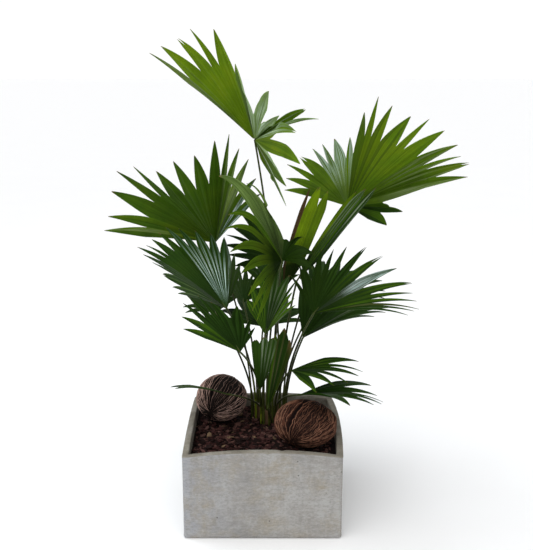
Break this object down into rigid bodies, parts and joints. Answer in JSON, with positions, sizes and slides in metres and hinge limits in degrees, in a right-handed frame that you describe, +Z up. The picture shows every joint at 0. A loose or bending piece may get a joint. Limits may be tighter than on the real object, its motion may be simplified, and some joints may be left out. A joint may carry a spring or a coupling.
{
  "type": "potted footstool palm",
  "caption": "Footstool palm: a clump of pleated, fan-shaped blades on slender stalks, rooted in bark mulch in a square cement planter, for standing on a floor or table.",
  "frame": {"origin": "centre of the planter's flat underside, on the surface that it stands on", "axes": "+Z up; +X towards the planter's right side as seen from the front; -Y towards the front"},
  "size_m": [0.724, 0.497, 0.938],
  "materials": {
    "planter_cement": "matt whitewash",
    "bark_mulch": "rough, damp",
    "fruit_fibre": "fibrous",
    "stem_sheath": "fibrous",
    "stalk_green": "satin",
    "leaf_light": "satin",
    "leaf_dark": "semi-gloss"
  },
  "bodies": {
    "root": {"blade_band": "leaf_dark", "blade_centre_left": "leaf_dark", "blade_centre_low": "leaf_dark", "blade_left_high": "leaf_light", "blade_left_low": "leaf_dark", "blade_left_middle": "leaf_dark", "blade_low_right": "leaf_dark", "blade_lowest_left": "leaf_dark", "blade_lowest_right": "leaf_dark", "blade_rear_left": "leaf_dark", "blade_rear_low": "leaf_dark", "blade_rear_middle": "leaf_dark", "blade_rear_right": "leaf_dark", "blade_right_high": "leaf_light", "blade_right_middle": "leaf_dark", "blade_right_under": "leaf_dark", "blade_shade_left": "leaf_dark", "blade_shade_low": "leaf_dark", "blade_spear": "leaf_light", "blade_top": "leaf_light", "blade_young_centre": "leaf_dark", "blade_young_right": "leaf_dark", "dried_fruit_left": "fruit_fibre", "dried_fruit_right": "fruit_fibre", "planter": "planter_cement", "soil": "bark_mulch", "stalk_band": "stalk_green", "stalk_centre_left": "stalk_green", "stalk_centre_low": "stalk_green", "stalk_left_high": "stalk_green", "stalk_left_low": "stalk_green", "stalk_left_middle": "stalk_green", "stalk_low_right": "stalk_green", "stalk_lowest_left": "stalk_green", "stalk_lowest_right": "stalk_green", "stalk_rear_left": "stalk_green", "stalk_rear_low": "stalk_green", "stalk_rear_middle": "stalk_green", "stalk_rear_right": "stalk_green", "stalk_right_high": "stalk_green", "stalk_right_middle": "stalk_green", "stalk_right_under": "stalk_green", "stalk_shade_left": "stalk_green", "stalk_shade_low": "stalk_green", "stalk_spear": "stalk_green", "stalk_top": "stalk_green", "stalk_young_centre": "stalk_green", "stalk_young_right": "stalk_green", "stem_left": "stem_sheath", "stem_middle": "stem_sheath", "stem_right": "stem_sheath"}
  },
  "joints": []
}
